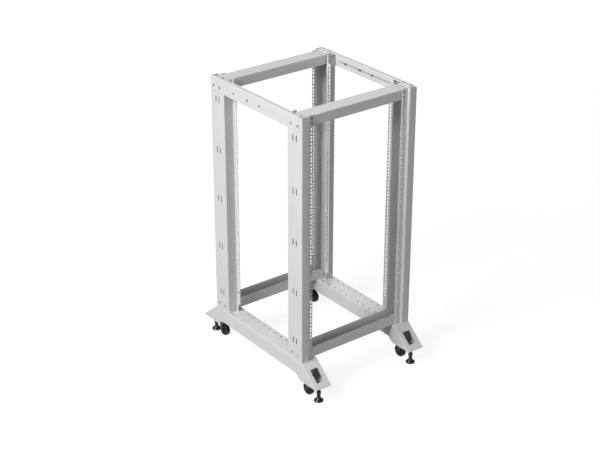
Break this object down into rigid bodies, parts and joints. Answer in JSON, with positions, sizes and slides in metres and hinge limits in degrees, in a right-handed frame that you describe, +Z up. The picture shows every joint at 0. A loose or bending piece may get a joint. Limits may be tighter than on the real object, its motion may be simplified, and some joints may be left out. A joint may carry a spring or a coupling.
{
  "type": "four post open frame rack",
  "caption": "Open frame rack for 19 inch equipment: folded sheet posts with square holes on a wide base with feet, swivel casters and levelling feet.",
  "frame": {"origin": "on the floor under the centre of the rack", "axes": "+X to the right seen from the front, +Y from the front to the rear, +Z up"},
  "size_m": [0.584, 0.809, 1.2379],
  "materials": {
    "frame_paint": "satin",
    "black_steel": "semi-gloss",
    "wheel_plastic": "matte"
  },
  "bodies": {
    "frame": {"post_front_left": "frame_paint", "post_front_right": "frame_paint", "post_rear_left": "frame_paint", "post_rear_right": "frame_paint", "top_side_rail_left": "frame_paint", "top_side_rail_right": "frame_paint", "base_side_rail_left": "frame_paint", "base_side_rail_right": "frame_paint", "top_crossbar_front": "frame_paint", "top_crossbar_rear": "frame_paint", "bottom_crossbar_front": "frame_paint", "bottom_crossbar_rear": "frame_paint", "top_bracket_front_left": "frame_paint", "top_bracket_front_right": "frame_paint", "top_bracket_rear_left": "frame_paint", "top_bracket_rear_right": "frame_paint", "foot_bracket_front_left": "frame_paint", "foot_bracket_front_right": "frame_paint", "foot_bracket_rear_left": "frame_paint", "foot_bracket_rear_right": "frame_paint", "caster_plate_front_left": "black_steel", "caster_plate_front_right": "black_steel", "caster_plate_rear_left": "black_steel", "caster_plate_rear_right": "black_steel", "levelling_nut_front_left": "black_steel", "levelling_nut_front_right": "black_steel", "levelling_nut_rear_left": "black_steel", "levelling_nut_rear_right": "black_steel"},
    "caster_swivel_front_left": {"caster_fork_front_left": "black_steel"},
    "wheel_front_left": {"caster_wheel_front_left": "wheel_plastic"},
    "leveller_front_left": {"levelling_foot_front_left": "black_steel"},
    "caster_swivel_front_right": {"caster_fork_front_right": "black_steel"},
    "wheel_front_right": {"caster_wheel_front_right": "wheel_plastic"},
    "leveller_front_right": {"levelling_foot_front_right": "black_steel"},
    "caster_swivel_rear_left": {"caster_fork_rear_left": "black_steel"},
    "wheel_rear_left": {"caster_wheel_rear_left": "wheel_plastic"},
    "leveller_rear_left": {"levelling_foot_rear_left": "black_steel"},
    "caster_swivel_rear_right": {"caster_fork_rear_right": "black_steel"},
    "wheel_rear_right": {"caster_wheel_rear_right": "wheel_plastic"},
    "leveller_rear_right": {"levelling_foot_rear_right": "black_steel"}
  },
  "joints": [
    {"name": "swivel_front_left", "type": "hinge", "parent": "frame", "child": "caster_swivel_front_left", "pos_m": [-0.251, -0.3225, 0.063], "axis": [0, 0, 1], "range_deg": [-120, 120]},
    {"name": "roll_front_left", "type": "hinge", "parent": "caster_swivel_front_left", "child": "wheel_front_left", "pos_m": [-0.251, -0.3055, 0.028], "axis": [1, 0, 0], "continuous": true},
    {"name": "level_front_left", "type": "slide", "parent": "frame", "child": "leveller_front_left", "axis": [0, 0, 1], "range_m": [-0.005, 0.02]},
    {"name": "swivel_front_right", "type": "hinge", "parent": "frame", "child": "caster_swivel_front_right", "pos_m": [0.251, -0.3225, 0.063], "axis": [0, 0, 1], "range_deg": [-120, 120]},
    {"name": "roll_front_right", "type": "hinge", "parent": "caster_swivel_front_right", "child": "wheel_front_right", "pos_m": [0.251, -0.3055, 0.028], "axis": [1, 0, 0], "continuous": true},
    {"name": "level_front_right", "type": "slide", "parent": "frame", "child": "leveller_front_right", "axis": [0, 0, 1], "range_m": [-0.005, 0.02]},
    {"name": "swivel_rear_left", "type": "hinge", "parent": "frame", "child": "caster_swivel_rear_left", "pos_m": [-0.251, 0.3225, 0.063], "axis": [0, 0, 1], "range_deg": [-120, 120]},
    {"name": "roll_rear_left", "type": "hinge", "parent": "caster_swivel_rear_left", "child": "wheel_rear_left", "pos_m": [-0.251, 0.3055, 0.028], "axis": [1, 0, 0], "continuous": true},
    {"name": "level_rear_left", "type": "slide", "parent": "frame", "child": "leveller_rear_left", "axis": [0, 0, 1], "range_m": [-0.005, 0.02]},
    {"name": "swivel_rear_right", "type": "hinge", "parent": "frame", "child": "caster_swivel_rear_right", "pos_m": [0.251, 0.3225, 0.063], "axis": [0, 0, 1], "range_deg": [-120, 120]},
    {"name": "roll_rear_right", "type": "hinge", "parent": "caster_swivel_rear_right", "child": "wheel_rear_right", "pos_m": [0.251, 0.3055, 0.028], "axis": [1, 0, 0], "continuous": true},
    {"name": "level_rear_right", "type": "slide", "parent": "frame", "child": "leveller_rear_right", "axis": [0, 0, 1], "range_m": [-0.005, 0.02]}
  ]
}
